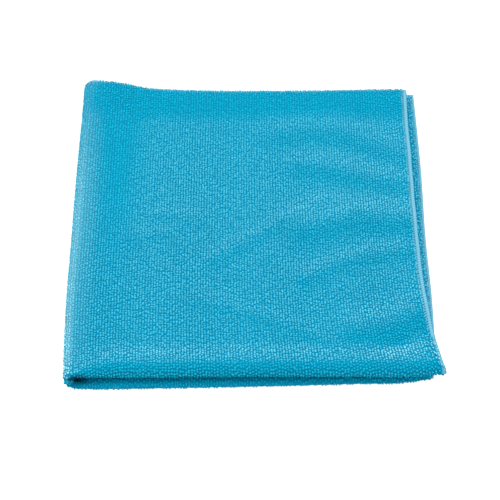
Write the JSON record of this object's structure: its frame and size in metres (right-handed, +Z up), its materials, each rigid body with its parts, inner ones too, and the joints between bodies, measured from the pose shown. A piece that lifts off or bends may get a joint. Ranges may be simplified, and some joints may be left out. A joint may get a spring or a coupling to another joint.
{
  "type": "folded microfibre cloth",
  "caption": "Folded microfibre cleaning cloth lying flat, with rounded folds at the front and left and free overlocked hems at the right and back.",
  "frame": {"origin": "middle of the stack's underside, on the surface that it rests on", "axes": "+Z up through the layers; the front fold faces -Y, the left fold faces -X, and the free hems are at +X and +Y"},
  "size_m": [0.2034, 0.2013, 0.0199],
  "materials": {
    "microfibre": "matte cyan-blue terry"
  },
  "bodies": {
    "root": {"cloth": "microfibre"}
  },
  "joints": []
}
